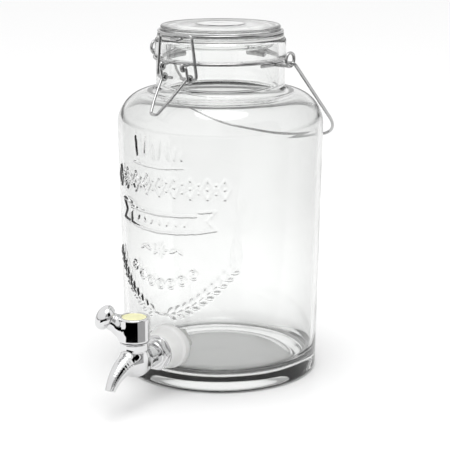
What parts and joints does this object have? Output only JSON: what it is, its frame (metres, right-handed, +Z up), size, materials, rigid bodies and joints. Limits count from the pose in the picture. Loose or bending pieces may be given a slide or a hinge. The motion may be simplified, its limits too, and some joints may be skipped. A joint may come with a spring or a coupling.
{
  "type": "glass drinks dispenser with tap",
  "caption": "Round glass jar for cold drinks with a clip-top lid, a wire carrying handle and a chrome lever tap low in the front.",
  "frame": {"origin": "on the jar's axis, in the plane that its foot stands on", "axes": "+Z up along the jar's axis, -Y from the jar's axis towards the tap, +X to the right of someone behind the jar looking at the tap's back"},
  "size_m": [0.1544, 0.2369, 0.2636],
  "materials": {
    "clear_glass": "clear pressed soda glass",
    "steel_wire": "bright drawn steel wire",
    "chrome": "polished chrome plate",
    "pale_silicone": "translucent silicone",
    "white_plastic": "moulded",
    "dark_rubber": "smooth",
    "yellow_plastic": "pale yellow, smooth",
    "screw_steel": "plain steel"
  },
  "bodies": {
    "jar": {"glass_jar": "clear_glass", "neck_ring": "steel_wire", "handle_ear_left": "steel_wire", "handle_ear_right": "steel_wire", "rear_hinge_bracket": "steel_wire", "tap_body": "chrome", "outer_washer": "pale_silicone", "inner_washer": "pale_silicone", "inner_nut": "white_plastic"},
    "lid": {"glass_lid": "clear_glass", "lid_gasket": "pale_silicone", "lid_ring": "steel_wire"},
    "lever": {"clasp_lever": "steel_wire"},
    "link": {"clasp_link": "steel_wire"},
    "handle": {"carry_handle": "steel_wire"},
    "tap_handle": {"tap_head": "chrome", "lever_knob": "chrome", "cap_disc": "yellow_plastic", "head_screw": "screw_steel", "valve_plug": "white_plastic", "plug_o_ring_upper": "dark_rubber", "plug_o_ring_lower": "dark_rubber"}
  },
  "joints": [
    {"name": "lid_hinge", "type": "hinge", "parent": "jar", "child": "lid", "pos_m": [0.00698, 0.05304, 0.2515], "axis": [-0.9914, 0.1305, 0], "range_deg": [0, 110]},
    {"name": "lever_pivot", "type": "hinge", "parent": "jar", "child": "lever", "pos_m": [-0.00731, -0.05552, 0.237], "axis": [-0.9914, 0.1305, 0], "range_deg": [0, 80]},
    {"name": "link_pivot", "type": "hinge", "parent": "lever", "child": "link", "pos_m": [-0.00668, -0.05076, 0.2282], "axis": [-0.9914, 0.1305, 0], "range_deg": [-110, 0]},
    {"name": "handle_swing", "type": "hinge", "parent": "jar", "child": "handle", "pos_m": [0, 0, 0.239], "axis": [0.9914, -0.1305, 0], "range_deg": [0, 260]},
    {"name": "tap_turn", "type": "hinge", "parent": "jar", "child": "tap_handle", "pos_m": [0, -0.1214, 0.06], "axis": [0, 0, 1], "range_deg": [0, 90]}
  ],
  "couplings": [
    {"joint": "link_pivot", "follows": "lever_pivot", "ratio": -1.375}
  ]
}
